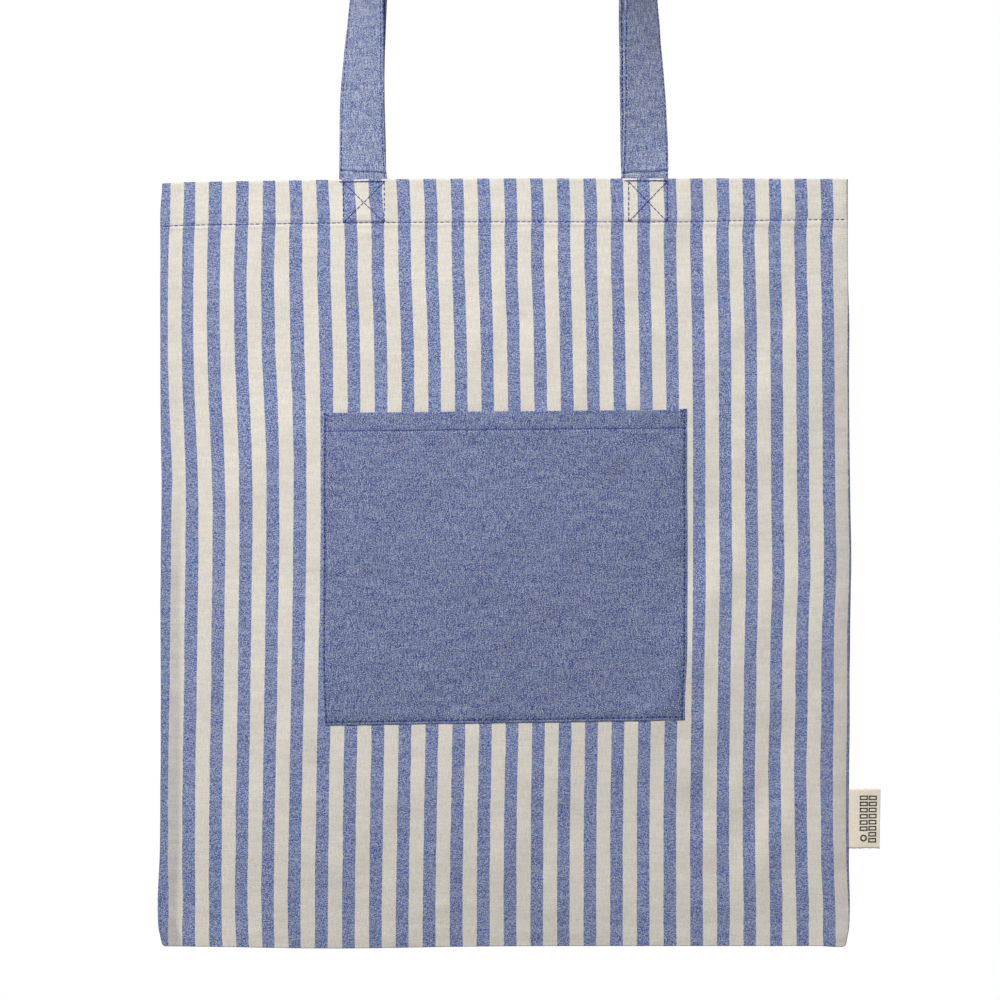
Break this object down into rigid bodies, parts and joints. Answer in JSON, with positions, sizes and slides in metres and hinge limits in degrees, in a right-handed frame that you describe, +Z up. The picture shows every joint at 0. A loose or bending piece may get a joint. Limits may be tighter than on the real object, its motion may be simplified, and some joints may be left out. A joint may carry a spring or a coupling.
{
  "type": "striped tote bag",
  "caption": "Flat striped cotton tote bag with two long shoulder handles, a plain patch pocket on the front and a folded side label.",
  "frame": {"origin": "hang point: the middle of the underside of the inner handle's arch, where a peg or a shoulder carries the bag", "axes": "+Z up along the hanging bag, -Y towards the front, the side with the pocket, +X to the right seen from the front"},
  "size_m": [0.3971, 0.0353, 0.7369],
  "materials": {
    "striped_cloth": "matt woven cotton, cream with yarn-dyed blue stripes",
    "blue_cloth": "matt plain-weave chambray, blue and cream yarns",
    "label_cloth": "matt woven cotton tape",
    "blue_thread": "satin sewing thread",
    "cream_thread": "matt overlock thread"
  },
  "bodies": {
    "bag": {"front_panel": "striped_cloth", "back_panel": "striped_cloth", "left_side_seam": "striped_cloth", "right_side_seam": "striped_cloth", "bottom_seam": "striped_cloth", "left_seam_overlock": "cream_thread", "right_seam_overlock": "cream_thread", "bottom_seam_overlock": "cream_thread", "front_handle_left_end": "blue_cloth", "front_handle_right_end": "blue_cloth", "back_handle_left_end": "blue_cloth", "back_handle_right_end": "blue_cloth", "pocket": "blue_cloth", "label_tail": "label_cloth", "front_hem_stitching": "blue_thread", "back_hem_stitching": "blue_thread", "pocket_hem_stitching": "blue_thread", "pocket_edge_stitching": "blue_thread", "front_left_box_stitching": "blue_thread", "front_right_box_stitching": "blue_thread", "back_left_box_stitching": "blue_thread", "back_right_box_stitching": "blue_thread"},
    "front_handle": {"front_handle": "blue_cloth", "front_handle_stitching": "blue_thread"},
    "back_handle": {"back_handle": "blue_cloth", "back_handle_stitching": "blue_thread"},
    "label": {"label": "label_cloth"}
  },
  "joints": [
    {"name": "front_handle_fold", "type": "hinge", "parent": "bag", "child": "front_handle", "pos_m": [0, -0.01019, -0.30711], "axis": [1, 0, 0], "range_deg": [0, 175]},
    {"name": "back_handle_fold", "type": "hinge", "parent": "bag", "child": "back_handle", "pos_m": [0, 0.01019, -0.30711], "axis": [-1, 0, 0], "range_deg": [0, 175]},
    {"name": "label_flip", "type": "hinge", "parent": "bag", "child": "label", "pos_m": [0.1906, 0, -0.66131], "axis": [0, 0, 1], "range_deg": [-80, 80], "stiffness_Nm_per_rad": 0.0002}
  ]
}
